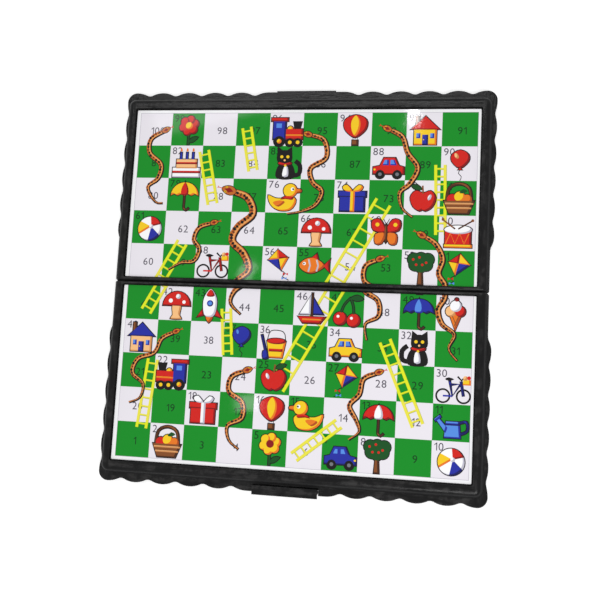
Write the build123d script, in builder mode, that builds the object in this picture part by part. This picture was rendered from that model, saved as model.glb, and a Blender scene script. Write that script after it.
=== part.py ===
from build123d import *

from math import radians, tan
import os

# A folding snakes and ladders board: two shallow case halves, hinged along
# their middle, that lie flat with the printed squares on top.
# X runs across the board, +Y to its rear half, +Z up. The origin is the middle
# of the hinge line, on the plane that the rubber feet stand on. Millimetres.

# Printed squares
COLUMNS = 10
ROWS_PER_HALF = 5
SQUARE_WIDTH = 22.5
SQUARE_DEPTH = 22.4
SIDE_MARGIN = 2.7
END_MARGIN = 2.9
PRINT_CORNER_RADIUS = 0.6
PRINT_THICKNESS = 0.25
STEEL_THICKNESS = 0.3
STEEL_INSET = 1.5
SHEET_CLEARANCE = 0.7

# Case half: rims, walls and floor
HALF_GAP = 0.3
CLOSING_GAP = 0.1
HINGE_RIM = 2.1
SIDE_RIM = 7.6
END_RIM = 8.8
CASE_DEPTH = 10.0
RIM_ABOVE_PRINT = 1.8
FLOOR_THICKNESS = 1.45
WALL_THICKNESS = 2.0
WALL_DRAFT = 12.0
CORNER_RADIUS = 6.5
SHOULDER_RADIUS = 4.0
SEAM_EDGE_RADIUS = 1.5
RIM_INNER_RADIUS = 0.4

# Scalloped flange
FLANGE_THICKNESS = 2.2
FLANGE_EDGE_RADIUS = 0.6
SIDE_CREST = 2.15
SIDE_SCALLOP_DEPTH = 1.25
END_CREST = 5.25
END_SCALLOP_DEPTH = 2.2
CREST_SHARE = 0.78
CREST_CORNER_RADIUS = 6.5
END_SCALLOPS = 5
SIDE_SCALLOPS = 5
STRAIGHT_HALF_LENGTH = 26.0
SIDE_SCALLOP_PITCH = 17.85
FLANGE_RUN_OUT = 9.0

# Rubber feet and the bosses that carry them
FOOT_HEIGHT = 2.6
FOOT_RADIUS = 3.5
FOOT_EDGE_RADIUS = 0.5
BOSS_WALL = 1.0
REAR_FOOT_X = 110.0
FRONT_FOOT_X = 98.0
FOOT_NEAR_Y = 14.0
FOOT_FAR_Y = 112.0

# Hinge
HINGE_X = 78.0
KNUCKLES = 5
KNUCKLE_LENGTH = 7.6
KNUCKLE_GAP = 0.3
KNUCKLE_RADIUS = 2.4
KNUCKLE_CLEARANCE = 0.3
PIN_RADIUS = 0.9
PIN_CHAMFER = 0.25
PIN_TIGHT_FIT = 0.02
PIN_RUNNING_FIT = 0.06

# Latch: a clasp with a hooked lip that snaps over a nose on the other half
CLASP_WIDTH = 42.0
CLASP_THICKNESS = 1.1
CLASP_SIDE_CLEARANCE = 0.3
CLASP_EDGE_RADIUS = 0.35
CLASP_WEB_HALF = 1.0
CLASP_HEEL_REACH = 2.3
CLASP_HEEL_CLEARANCE = 0.05
LIP_THICKNESS = 0.8
LIP_DEPTH = 0.6
BARREL_RADIUS = 1.15
PIVOT_INSET = 2.2
PIVOT_HEIGHT = 1.25
LATCH_PIN_RADIUS = 0.5
LATCH_PIN_END_CLEARANCE = 0.1
LUG_WIDTH = 3.0
NOSE_HALF_WIDTH = 20.0
NOSE_CLEARANCE = 0.15
NOSE_REACH = 0.9
NOSE_BOTTOM = 0.3
NOSE_TOP = 1.5

# Stiffening ribs under the front half's floor
RIB_THICKNESS = 1.4
RIB_HEIGHT = 1.2
CROSS_RIB_SPACING = 45.0
LONG_RIB_Y = 64.0

# Storage tray in the rear half
TRAY_HALF_WIDTH = 86.0
TRAY_NEAR_Y = 8.0
TRAY_FAR_Y = 118.0
TRAY_WALL = 1.0
TRAY_DECK = 1.0
TRAY_SETBACK = 0.5
TRAY_CORNER_RADIUS = 5.0
TRAY_FLOOR = 0.8
TRAY_RAIL_THICKNESS = 1.5
TRAY_RAIL_HEIGHT = 3.0
TRAY_RAIL_LENGTH = 60.0
TRAY_RAIL_CLEARANCE = 0.1
TRAY_WALL_FROM_POCKET = 1.0
COUNTER_ROW_Y = 98.0
COUNTER_FROM_TRAY_END = 20.0
COUNTER_SPACING = 27.0
POCKET_CLEARANCE = 0.25
FINGER_RADIUS = 5.0
FINGER_OFFSET = 8.0
DIE_FROM_TRAY_END = 34.0
LEAFLET_FROM_TRAY_END = 16.0
LEAFLET_LENGTH = 58.0
LEAFLET_Y = 46.0
LEAFLET_RADIUS = 4.0

# Counters, their magnets and the die
COUNTER_RADIUS = 7.0
COUNTER_HEIGHT = 4.2
COUNTER_WAIST = 0.5
COUNTER_DISH_RADIUS = 4.6
COUNTER_DISH_DEPTH = 0.6
COUNTER_EDGE_RADIUS = 0.45
COUNTER_COLOURS = ("red", "yellow", "blue", "green")
MAGNET_RADIUS = 3.0
MAGNET_THICKNESS = 1.5
MAGNET_FIT = 0.02
MAGNET_EDGE = 0.15
DIE_SIZE = 7.0
DIE_EDGE_RADIUS = 0.8
DIE_CLEARANCE = 0.15
PIP_RADIUS = 0.6
PIP_DEPTH = 0.3
PIP_SPACING = 1.9

# Slack when edges are picked by their place or size
EDGE_SLACK = 0.01

# Levels, from the feet up
PARTING = FOOT_HEIGHT
CASE_BOTTOM = PARTING + CLOSING_GAP / 2
RIM_TOP = PARTING + CASE_DEPTH
PRINT_TOP = RIM_TOP - RIM_ABOVE_PRINT
STEEL_TOP = PRINT_TOP - PRINT_THICKNESS
FLOOR_TOP = STEEL_TOP - STEEL_THICKNESS
CEILING = FLOOR_TOP - FLOOR_THICKNESS
FLANGE_TOP = PARTING + FLANGE_THICKNESS

# Plan of one half, in the rear half's own place (y is positive)
PRINT_HALF_WIDTH = COLUMNS * SQUARE_WIDTH / 2 + SIDE_MARGIN
RECESS_HALF_WIDTH = PRINT_HALF_WIDTH + SHEET_CLEARANCE
SIDE_WALL = RECESS_HALF_WIDTH + SIDE_RIM
SEAM_FACE = HALF_GAP / 2
RECESS_NEAR_Y = SEAM_FACE + HINGE_RIM
PRINT_NEAR_Y = RECESS_NEAR_Y + SHEET_CLEARANCE
PRINT_FAR_Y = PRINT_NEAR_Y + ROWS_PER_HALF * SQUARE_DEPTH + END_MARGIN
RECESS_FAR_Y = PRINT_FAR_Y + SHEET_CLEARANCE
END_WALL = RECESS_FAR_Y + END_RIM
HOLLOW_HALF_WIDTH = SIDE_WALL - WALL_THICKNESS
HOLLOW_NEAR_Y = SEAM_FACE + WALL_THICKNESS
HOLLOW_FAR_Y = END_WALL - WALL_THICKNESS
HOLLOW_RADIUS = CORNER_RADIUS - WALL_THICKNESS
HOLLOW_LEAN = (CEILING - PARTING) * tan(radians(WALL_DRAFT))
SIDE_CREST_X = SIDE_WALL + SIDE_CREST
END_CREST_Y = END_WALL + END_CREST
BOSS_RADIUS = FOOT_RADIUS + BOSS_WALL

# Latch places: the plate's heights are over the pivot, with the clasp swung out level
PIVOT_Y = END_CREST_Y - PIVOT_INSET
PIVOT_Z = PARTING + PIVOT_HEIGHT
PLATE_UNDER = PIVOT_INSET + NOSE_REACH + NOSE_CLEARANCE
PLATE_OVER = PLATE_UNDER + CLASP_THICKNESS
LIP_NEAR = PIVOT_HEIGHT + NOSE_TOP + NOSE_CLEARANCE
CLASP_REACH = LIP_NEAR + LIP_THICKNESS
NOTCH_INNER_Y = PIVOT_Y - BARREL_RADIUS - CLASP_SIDE_CLEARANCE
NOTCH_HALF_WIDTH = CLASP_WIDTH / 2 + CLASP_SIDE_CLEARANCE
LUG_MIDDLE_X = NOTCH_HALF_WIDTH + LUG_WIDTH / 2

# Tray levels and places
POCKET_CEILING = CEILING - TRAY_FLOOR
DECK_BOTTOM = PARTING + TRAY_SETBACK
DECK_TOP = DECK_BOTTOM + TRAY_DECK
COUNTER_FIRST_X = TRAY_HALF_WIDTH - COUNTER_FROM_TRAY_END
DIE_X = DIE_FROM_TRAY_END - TRAY_HALF_WIDTH
LEAFLET_WIDTH = 2 * (TRAY_HALF_WIDTH - LEAFLET_FROM_TRAY_END)


def half_wave(start, end, along, share):
    """An S-shaped half of a scallop, level at both ends; share is the first arc's part of its length."""
    meeting = start + (end - start) * share
    TangentArc(start, meeting, tangent=along)
    TangentArc(end, meeting, tangent=along * -1)


def scallops(crest, along, outward, pitch, depth, count):
    """A stretch of broad crests and tight valleys, from crest to crest; returns its last crest."""
    for _ in range(count):
        valley = crest + along * (pitch / 2) - outward * depth
        next_crest = crest + along * pitch
        half_wave(crest, valley, along, CREST_SHARE)
        half_wave(valley, next_crest, along, 1 - CREST_SHARE)
        crest = next_crest
    return crest


def flange_edge(side):
    """The scalloped edge on one side, from the hinge end to the straight part."""
    right = Vector(side, 0, 0)
    rear = Vector(0, 1, 0)
    corner = Vector(side * (SIDE_CREST_X - CREST_CORNER_RADIUS), END_CREST_Y - CREST_CORNER_RADIUS, 0)
    side_end = corner + right * CREST_CORNER_RADIUS
    end_start = corner + rear * CREST_CORNER_RADIUS
    first_crest = side_end - rear * (SIDE_SCALLOPS * SIDE_SCALLOP_PITCH)
    foot = first_crest - rear * FLANGE_RUN_OUT - right * SIDE_CREST
    half_wave(foot, first_crest, rear, 1 - CREST_SHARE)
    scallops(first_crest, rear, right, SIDE_SCALLOP_PITCH, SIDE_SCALLOP_DEPTH, SIDE_SCALLOPS)
    RadiusArc(side_end, end_start, -side * CREST_CORNER_RADIUS)
    end_pitch = (abs(end_start.X) - STRAIGHT_HALF_LENGTH) / END_SCALLOPS
    last_crest = scallops(end_start, right * -1, rear, end_pitch, END_SCALLOP_DEPTH, END_SCALLOPS)
    return foot, last_crest


def rectangle(half_width, near_y, far_y):
    """A rectangle across the case half, between two distances from the hinge."""
    with Locations((0, (near_y + far_y) / 2)):
        Rectangle(2 * half_width, far_y - near_y)


def knuckle_spans(own):
    """Middle X of each knuckle; own picks the odd or the even ones of a group."""
    step = KNUCKLE_LENGTH + KNUCKLE_GAP
    first = -(KNUCKLES - 1) / 2 * step
    return [
        side * HINGE_X + first + index * step
        for side in (-1, 1)
        for index in range(KNUCKLES)
        if index % 2 == own
    ]


def along_x(middles, y, z, radius, length, mode=Mode.ADD):
    """Cylinders that lie along X, at each middle."""
    with Locations(*[(x, y, z) for x in middles]):
        Cylinder(radius, length, rotation=(0, 90, 0), mode=mode)


# Flange plate
with BuildPart() as flange:
    with BuildSketch(Plane.XY.offset(CASE_BOTTOM)):
        with BuildLine():
            right_foot, right_crest = flange_edge(1)
            left_foot, left_crest = flange_edge(-1)
            Line(right_crest, left_crest)
            Line(left_foot, right_foot)
        make_face()
    extrude(amount=FLANGE_TOP - CASE_BOTTOM)
    outer_edges = flange.edges().filter_by(Plane.XY)
    crest_edges = outer_edges.filter_by(lambda e: e.center().Y > right_foot.Y + FLANGE_EDGE_RADIUS)
    fillet(crest_edges, radius=FLANGE_EDGE_RADIUS)

# Case half as both halves have it, in the rear half's place
with BuildPart() as half:
    # Block with leaning walls and rounded shoulders, run past the seam and then cut back to it
    with BuildSketch(Plane.XY.offset(CASE_BOTTOM)):
        RectangleRounded(2 * SIDE_WALL, 2 * END_WALL, CORNER_RADIUS)
    extrude(amount=RIM_TOP - CASE_BOTTOM, taper=WALL_DRAFT)
    fillet(half.edges().group_by(Axis.Z)[-1], radius=SHOULDER_RADIUS)
    with BuildSketch(Plane.XY):
        with Locations((0, SEAM_FACE - END_WALL)):
            Rectangle(4 * SIDE_WALL, 2 * END_WALL)
    extrude(amount=2 * RIM_TOP, mode=Mode.SUBTRACT)
    seam = half.faces().sort_by(Axis.Y)[0]
    fillet(seam.edges().filter_by(lambda e: e.center().Z > CASE_BOTTOM + EDGE_SLACK), radius=SEAM_EDGE_RADIUS)
    add(flange.part)
    # Hollow underneath, with walls that lean like the outer ones, deeper behind the side and end rims
    with BuildSketch(Plane.XY.offset(PARTING)) as hollow:
        rectangle(HOLLOW_HALF_WIDTH, HOLLOW_NEAR_Y, HOLLOW_FAR_Y)
        fillet(hollow.vertices(), radius=HOLLOW_RADIUS)
    extrude(amount=CEILING - PARTING, taper=WALL_DRAFT, mode=Mode.SUBTRACT)
    with BuildSketch(Plane.XY.offset(CEILING)) as channel:
        rectangle(
            HOLLOW_HALF_WIDTH - HOLLOW_LEAN,
            RECESS_NEAR_Y + WALL_THICKNESS,
            HOLLOW_FAR_Y - HOLLOW_LEAN,
        )
        fillet(channel.vertices().group_by(Axis.Y)[-1], radius=HOLLOW_RADIUS - HOLLOW_LEAN)
        Rectangle(
            2 * (RECESS_HALF_WIDTH + WALL_THICKNESS),
            2 * (RECESS_FAR_Y + WALL_THICKNESS),
            mode=Mode.SUBTRACT,
        )
    extrude(amount=RIM_TOP - WALL_THICKNESS - CEILING, mode=Mode.SUBTRACT)
    # Recess for the steel plate and the print
    with BuildSketch(Plane.XY.offset(FLOOR_TOP)) as recess:
        rectangle(RECESS_HALF_WIDTH, RECESS_NEAR_Y, RECESS_FAR_Y)
        fillet(recess.vertices(), radius=PRINT_CORNER_RADIUS + SHEET_CLEARANCE)
    extrude(amount=RIM_TOP - FLOOR_TOP, mode=Mode.SUBTRACT)
    rim_top = half.faces().filter_by(Plane.XY).sort_by(Axis.Z)[-1]
    fillet(rim_top.inner_wires()[0].edges(), radius=RIM_INNER_RADIUS)

# Rear half: foot bosses, three knuckles a side, rails for the tray, the latch's nose
with BuildPart() as rear_case_shell:
    add(half.part)
    with BuildSketch(Plane.XY.offset(PARTING)):
        with Locations(*[(s * REAR_FOOT_X, y) for s in (-1, 1) for y in (FOOT_NEAR_Y, FOOT_FAR_Y)]):
            Circle(BOSS_RADIUS)
    extrude(amount=CEILING - PARTING)
    rail_x = TRAY_HALF_WIDTH + TRAY_RAIL_CLEARANCE + TRAY_RAIL_THICKNESS / 2
    with BuildSketch(Plane.XY.offset(CEILING - TRAY_RAIL_HEIGHT)):
        with Locations(*[(s * rail_x, (TRAY_NEAR_Y + TRAY_FAR_Y) / 2) for s in (-1, 1)]):
            Rectangle(TRAY_RAIL_THICKNESS, TRAY_RAIL_LENGTH)
    extrude(amount=TRAY_RAIL_HEIGHT)
    along_x(knuckle_spans(0), 0, PARTING, KNUCKLE_RADIUS, KNUCKLE_LENGTH)
    relief_length = KNUCKLE_LENGTH + 2 * KNUCKLE_GAP
    relief_radius = KNUCKLE_RADIUS + KNUCKLE_CLEARANCE
    along_x(knuckle_spans(1), 0, PARTING, relief_radius, relief_length, Mode.SUBTRACT)
    along_x(knuckle_spans(0), 0, PARTING, PIN_RADIUS + PIN_TIGHT_FIT, relief_length, Mode.SUBTRACT)
    with BuildSketch(Plane.XY.offset(PARTING + NOSE_BOTTOM)):
        with Locations((0, END_CREST_Y)):
            Rectangle(2 * NOSE_HALF_WIDTH, 2 * NOSE_REACH)
    extrude(amount=NOSE_TOP - NOSE_BOTTOM)

# Front half: foot bosses, two knuckles a side, ribs, and the lugs that hold the clasp
with BuildPart() as front_case_shell:
    mirror(half.part, about=Plane.XZ)
    with BuildSketch(Plane.XY.offset(PARTING)):
        with Locations(*[(s * FRONT_FOOT_X, -y) for s in (-1, 1) for y in (FOOT_NEAR_Y, FOOT_FAR_Y)]):
            Circle(BOSS_RADIUS)
    extrude(amount=CEILING - PARTING)
    with BuildSketch(Plane.XY.offset(CEILING - RIB_HEIGHT)):
        with Locations(*[(i * CROSS_RIB_SPACING, -(HOLLOW_NEAR_Y + HOLLOW_FAR_Y) / 2) for i in (-1, 0, 1)]):
            Rectangle(RIB_THICKNESS, HOLLOW_FAR_Y - HOLLOW_NEAR_Y)
        with Locations((0, -LONG_RIB_Y)):
            Rectangle(2 * (RECESS_HALF_WIDTH + WALL_THICKNESS), RIB_THICKNESS)
    extrude(amount=RIB_HEIGHT)
    along_x(knuckle_spans(1), 0, PARTING, KNUCKLE_RADIUS, KNUCKLE_LENGTH)
    along_x(knuckle_spans(0), 0, PARTING, relief_radius, relief_length, Mode.SUBTRACT)
    along_x(knuckle_spans(1), 0, PARTING, PIN_RADIUS + PIN_RUNNING_FIT, relief_length, Mode.SUBTRACT)
    # Lugs for the latch pin, either side of the clasp's notch in the flange
    lug_middles = [s * LUG_MIDDLE_X for s in (-1, 1)]
    along_x(lug_middles, -PIVOT_Y, PIVOT_Z, BARREL_RADIUS, LUG_WIDTH)
    with BuildSketch(Plane.XY.offset(CASE_BOTTOM)):
        with Locations(*[(x, -(END_WALL + PIVOT_Y + BARREL_RADIUS) / 2) for x in lug_middles]):
            Rectangle(LUG_WIDTH, PIVOT_Y + BARREL_RADIUS - END_WALL)
    extrude(amount=PIVOT_Z - CASE_BOTTOM)
    with BuildSketch(Plane.XY.offset(PARTING)):
        with Locations((0, -(NOTCH_INNER_Y + END_CREST_Y))):
            Rectangle(2 * NOTCH_HALF_WIDTH, 2 * END_CREST_Y)
    extrude(amount=FLANGE_THICKNESS, mode=Mode.SUBTRACT)
    latch_pin_length = 2 * (NOTCH_HALF_WIDTH + LUG_WIDTH - LATCH_PIN_END_CLEARANCE)
    latch_bore_length = latch_pin_length + 2 * LATCH_PIN_END_CLEARANCE
    along_x([0], -PIVOT_Y, PIVOT_Z, LATCH_PIN_RADIUS + PIN_TIGHT_FIT, latch_bore_length, Mode.SUBTRACT)

# Steel plates that the magnets hold to, and the printed sheets over them
with BuildPart() as rear_steel_plate:
    with BuildSketch(Plane.XY.offset(FLOOR_TOP)) as plate:
        rectangle(PRINT_HALF_WIDTH - STEEL_INSET, PRINT_NEAR_Y + STEEL_INSET, PRINT_FAR_Y - STEEL_INSET)
        fillet(plate.vertices(), radius=PRINT_CORNER_RADIUS)
    extrude(amount=STEEL_THICKNESS)

with BuildPart() as rear_board_print:
    with BuildSketch(Plane.XY.offset(STEEL_TOP)) as sheet:
        rectangle(PRINT_HALF_WIDTH, PRINT_NEAR_Y, PRINT_FAR_Y)
        fillet(sheet.vertices(), radius=PRINT_CORNER_RADIUS)
    extrude(amount=PRINT_THICKNESS)

with BuildPart() as front_steel_plate:
    mirror(rear_steel_plate.part, about=Plane.XZ)

with BuildPart() as front_board_print:
    mirror(rear_board_print.part, about=Plane.XZ)


def rubber_feet(foot_x, side):
    """Four round feet of one half, under its bosses."""
    with BuildPart() as feet:
        with BuildSketch(Plane.XY):
            with Locations(*[(s * foot_x, side * y) for s in (-1, 1) for y in (FOOT_NEAR_Y, FOOT_FAR_Y)]):
                Circle(FOOT_RADIUS)
        extrude(amount=FOOT_HEIGHT)
        fillet(feet.edges().group_by(Axis.Z)[0], radius=FOOT_EDGE_RADIUS)
    return feet


def steel_pin(middle_x, y, z, radius, length):
    """A straight pin along X with chamfered ends."""
    with BuildPart() as pin:
        along_x([middle_x], y, z, radius, length)
        chamfer(pin.edges().filter_by(GeomType.CIRCLE), length=PIN_CHAMFER)
    return pin


rear_rubber_feet = rubber_feet(REAR_FOOT_X, 1)
front_rubber_feet = rubber_feet(FRONT_FOOT_X, -1)
hinge_length = KNUCKLES * KNUCKLE_LENGTH + (KNUCKLES - 1) * KNUCKLE_GAP
left_hinge_pin = steel_pin(-HINGE_X, 0, PARTING, PIN_RADIUS, hinge_length)
right_hinge_pin = steel_pin(HINGE_X, 0, PARTING, PIN_RADIUS, hinge_length)
latch_pin = steel_pin(0, -PIVOT_Y, PIVOT_Z, LATCH_PIN_RADIUS, latch_pin_length)


def clasp_block(inner, outer, low, high):
    """A rectangle of the clasp's profile, by distances outward from the pivot and heights over it."""
    with Locations((-PIVOT_Y - (inner + outer) / 2, PIVOT_Z + (low + high) / 2)):
        Rectangle(outer - inner, high - low)


# Latch clasp, swung out level: barrel, web, plate, lip, and a heel that stops on the flange
with BuildPart() as latch_clasp:
    with BuildSketch(Plane.YZ.offset(-CLASP_WIDTH / 2)):
        with Locations((-PIVOT_Y, PIVOT_Z)):
            Circle(BARREL_RADIUS)
        clasp_block(-CLASP_WEB_HALF, CLASP_WEB_HALF, 0, PLATE_OVER)
        clasp_block(-CLASP_HEEL_REACH, CLASP_REACH, PLATE_UNDER, PLATE_OVER)
        clasp_block(LIP_NEAR, CLASP_REACH, PLATE_UNDER - LIP_DEPTH, PLATE_OVER)
        clasp_block(-CLASP_HEEL_REACH, 0, FLANGE_TOP + CLASP_HEEL_CLEARANCE - PIVOT_Z, PLATE_OVER)
    extrude(amount=CLASP_WIDTH)
    along_x([0], -PIVOT_Y, PIVOT_Z, LATCH_PIN_RADIUS + PIN_RUNNING_FIT, 2 * CLASP_WIDTH, Mode.SUBTRACT)
    top_edges = latch_clasp.edges().filter_by(Axis.X).group_by(Axis.Z)[-1]
    fillet(top_edges, radius=CLASP_EDGE_RADIUS)

# Storage tray: a deck with pockets that hang from it up to the case's floor
counter_xs = [COUNTER_FIRST_X - index * COUNTER_SPACING for index in range(len(COUNTER_COLOURS))]
pocket_radius = COUNTER_RADIUS + POCKET_CLEARANCE
die_pocket = DIE_SIZE + 2 * DIE_CLEARANCE


def pocket_outline(extra):
    """Plan of all pockets, grown by extra: counters, die and leaflet."""
    with Locations(*[(x, COUNTER_ROW_Y) for x in counter_xs]):
        Circle(pocket_radius + extra)
    finger_spots = [(x, COUNTER_ROW_Y - FINGER_OFFSET) for x in counter_xs]
    with Locations(*finger_spots, (DIE_X, COUNTER_ROW_Y - FINGER_OFFSET / 2)):
        Circle(FINGER_RADIUS + extra)
    with Locations((DIE_X, COUNTER_ROW_Y)):
        Rectangle(die_pocket + 2 * extra, die_pocket + 2 * extra)
    with Locations((0, LEAFLET_Y)):
        RectangleRounded(LEAFLET_WIDTH + 2 * extra, LEAFLET_LENGTH + 2 * extra, LEAFLET_RADIUS + extra)


with BuildPart() as storage_tray:
    with BuildSketch(Plane.XY.offset(DECK_BOTTOM)) as deck:
        rectangle(TRAY_HALF_WIDTH, TRAY_NEAR_Y, TRAY_FAR_Y)
        fillet(deck.vertices(), radius=TRAY_CORNER_RADIUS)
    extrude(amount=CEILING - DECK_BOTTOM)
    with BuildSketch(Plane.XY.offset(DECK_TOP)) as inside:
        rectangle(TRAY_HALF_WIDTH - TRAY_WALL, TRAY_NEAR_Y + TRAY_WALL, TRAY_FAR_Y - TRAY_WALL)
        fillet(inside.vertices(), radius=TRAY_CORNER_RADIUS - TRAY_WALL)
    extrude(amount=CEILING - DECK_TOP, mode=Mode.SUBTRACT)
    with BuildSketch(Plane.XY.offset(DECK_BOTTOM)):
        pocket_outline(TRAY_WALL_FROM_POCKET)
    extrude(amount=CEILING - DECK_BOTTOM)
    with BuildSketch(Plane.XY.offset(DECK_BOTTOM)):
        pocket_outline(0)
    extrude(amount=POCKET_CEILING - DECK_BOTTOM, mode=Mode.SUBTRACT)


def counter(x):
    """A round counter, base up in its pocket, with a bore for its magnet."""
    low = POCKET_CEILING - COUNTER_HEIGHT
    waist_low = low + COUNTER_HEIGHT / 3
    waist_high = POCKET_CEILING - COUNTER_HEIGHT / 3
    with BuildPart() as body:
        with BuildSketch(Plane.XZ):
            with BuildLine():
                Polyline(
                    (0, low + COUNTER_DISH_DEPTH),
                    (COUNTER_DISH_RADIUS, low + COUNTER_DISH_DEPTH),
                    (COUNTER_DISH_RADIUS, low),
                    (COUNTER_RADIUS, low),
                    (COUNTER_RADIUS, waist_low),
                )
                Line((COUNTER_RADIUS, waist_low), (COUNTER_RADIUS - COUNTER_WAIST, waist_low + COUNTER_WAIST))
                Polyline(
                    (COUNTER_RADIUS - COUNTER_WAIST, waist_low + COUNTER_WAIST),
                    (COUNTER_RADIUS - COUNTER_WAIST, waist_high - COUNTER_WAIST),
                    (COUNTER_RADIUS, waist_high),
                    (COUNTER_RADIUS, POCKET_CEILING),
                    (MAGNET_RADIUS + MAGNET_FIT, POCKET_CEILING),
                    (MAGNET_RADIUS + MAGNET_FIT, POCKET_CEILING - MAGNET_THICKNESS),
                    (0, POCKET_CEILING - MAGNET_THICKNESS),
                    (0, low + COUNTER_DISH_DEPTH),
                )
            make_face()
        revolve(axis=Axis.Z)
        rims = body.edges().filter_by(GeomType.CIRCLE).filter_by(
            lambda e: e.radius > COUNTER_RADIUS - EDGE_SLACK
            and not waist_low - EDGE_SLACK < e.center().Z < waist_high + EDGE_SLACK
        )
        fillet(rims, radius=COUNTER_EDGE_RADIUS)
    return body.part.moved(Location((x, COUNTER_ROW_Y, 0)))


def magnet(x):
    """The disc magnet pressed into a counter's base."""
    with BuildPart() as disc:
        with BuildSketch(Plane.XY.offset(POCKET_CEILING - MAGNET_THICKNESS)):
            with Locations((x, COUNTER_ROW_Y)):
                Circle(MAGNET_RADIUS)
        extrude(amount=MAGNET_THICKNESS)
        chamfer(disc.edges().group_by(Axis.Z)[0], length=MAGNET_EDGE)
    return disc.part


# Die: opposite faces add up to seven
pip_grids = {
    1: [(0, 0)],
    2: [(-1, -1), (1, 1)],
    3: [(-1, -1), (0, 0), (1, 1)],
    4: [(-1, -1), (-1, 1), (1, -1), (1, 1)],
    5: [(-1, -1), (-1, 1), (0, 0), (1, -1), (1, 1)],
    6: [(-1, -1), (-1, 0), (-1, 1), (1, -1), (1, 0), (1, 1)],
}
die_middle = Vector(DIE_X, COUNTER_ROW_Y, POCKET_CEILING - DIE_SIZE / 2)
die_faces = [
    (1, Vector(0, 0, -1)),
    (6, Vector(0, 0, 1)),
    (2, Vector(0, -1, 0)),
    (5, Vector(0, 1, 0)),
    (3, Vector(1, 0, 0)),
    (4, Vector(-1, 0, 0)),
]
with BuildPart() as playing_die:
    with Locations(die_middle):
        Box(DIE_SIZE, DIE_SIZE, DIE_SIZE)
    fillet(playing_die.edges(), radius=DIE_EDGE_RADIUS)
    for value, outward in die_faces:
        with BuildSketch(Plane(origin=die_middle + outward * (DIE_SIZE / 2), z_dir=outward)):
            with Locations(*[(a * PIP_SPACING, b * PIP_SPACING) for a, b in pip_grids[value]]):
                Circle(PIP_RADIUS)
        extrude(amount=-PIP_DEPTH, mode=Mode.SUBTRACT)

pieces = {
    "rear_case_shell": rear_case_shell.part,
    "front_case_shell": front_case_shell.part,
    "rear_steel_plate": rear_steel_plate.part,
    "front_steel_plate": front_steel_plate.part,
    "rear_board_print": rear_board_print.part,
    "front_board_print": front_board_print.part,
    "left_hinge_pin": left_hinge_pin.part,
    "right_hinge_pin": right_hinge_pin.part,
    "latch_clasp": latch_clasp.part,
    "latch_pin": latch_pin.part,
    "rear_rubber_feet": rear_rubber_feet.part,
    "front_rubber_feet": front_rubber_feet.part,
    "storage_tray": storage_tray.part,
    "playing_die": playing_die.part,
}
for colour, counter_x in zip(COUNTER_COLOURS, counter_xs):
    pieces[f"{colour}_counter"] = counter(counter_x)
    pieces[f"{colour}_counter_magnet"] = magnet(counter_x)

os.makedirs("parts", exist_ok=True)
for name, solid in pieces.items():
    solid.label = name
    export_step(solid, f"parts/{name}.step")
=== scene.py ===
import math

import bmesh
import bpy
from mathutils import Matrix, Vector
from mathutils.geometry import delaunay_2d_cdt


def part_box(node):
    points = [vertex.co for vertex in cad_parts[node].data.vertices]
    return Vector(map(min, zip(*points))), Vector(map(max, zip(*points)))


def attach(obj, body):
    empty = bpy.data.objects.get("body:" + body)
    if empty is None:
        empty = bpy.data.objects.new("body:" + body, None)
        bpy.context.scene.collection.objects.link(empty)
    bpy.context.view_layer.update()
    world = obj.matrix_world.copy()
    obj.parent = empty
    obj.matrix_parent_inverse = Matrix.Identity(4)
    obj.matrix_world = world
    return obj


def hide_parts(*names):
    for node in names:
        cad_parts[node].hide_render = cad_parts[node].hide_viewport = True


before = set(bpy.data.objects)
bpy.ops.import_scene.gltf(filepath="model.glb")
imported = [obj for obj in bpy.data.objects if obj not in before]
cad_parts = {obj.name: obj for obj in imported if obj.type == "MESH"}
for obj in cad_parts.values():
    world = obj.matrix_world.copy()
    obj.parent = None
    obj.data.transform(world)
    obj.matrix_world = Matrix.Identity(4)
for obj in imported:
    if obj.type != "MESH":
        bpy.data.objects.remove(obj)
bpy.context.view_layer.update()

# Lengths are in metres in the frame of the CAD model: X across the board, +Y to the rear half,
# +Z up out of the print.
MM = .001

# Camera, at the photograph's place
CAMERA_PLACE = Vector((83.04, -63.58, 498.78)) * MM
CAMERA_AIM = Vector((3.88, -9.14, 10.8)) * MM
CAMERA_ROLL = math.radians(3.0335)
LENS_MM = 46.305
SENSOR_MM = 36.0
NEAREST_SEEN = .01

# Printed squares and the margins round them
COLUMNS = ROWS = 10
LEFT_MARGIN = 2.7 * MM
RIGHT_MARGIN = 1.8 * MM
FRONT_MARGIN = 2.4 * MM
REAR_MARGIN = 2.2 * MM
SHEET_CORNER = .6 * MM
CORNER_STEPS = 6
BORDER_LINE_WIDTH = .25 * MM

# Details of the print, in squares of the board
DIGIT_HEIGHT = .215
DIGIT_GAP = .035
CORNER_NUMBER = (.07, .84)
MIDDLE_NUMBER = (.56, .46)
OUTLINE = .024
MOTIF_SIZE = 1.06
MOTIF_SHIFT = (.03, -.03)
CURVE_STEP = .12

print_low, print_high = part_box("rear_board_print")
HALF_WIDTH = print_high.x
SHEET_NEAR = print_low.y
SHEET_FAR = print_high.y
SHEET_TOP = print_high.z
SHEET_BOTTOM = print_low.z
COLUMN = (2 * HALF_WIDTH - LEFT_MARGIN - RIGHT_MARGIN) / COLUMNS
FOLD = ROWS / 2
REAR_ROW = (SHEET_FAR - REAR_MARGIN - SHEET_NEAR) / FOLD
FRONT_ROW = (SHEET_FAR - FRONT_MARGIN - SHEET_NEAR) / FOLD


def srgb(red, green, blue):
    """An 8-bit screen colour as the linear values that the shaders take."""
    def linear(level):
        level /= 255
        return level / 12.92 if level <= .04045 else ((level + .055) / 1.055) ** 2.4
    return (linear(red), linear(green), linear(blue), 1.0)


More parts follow.
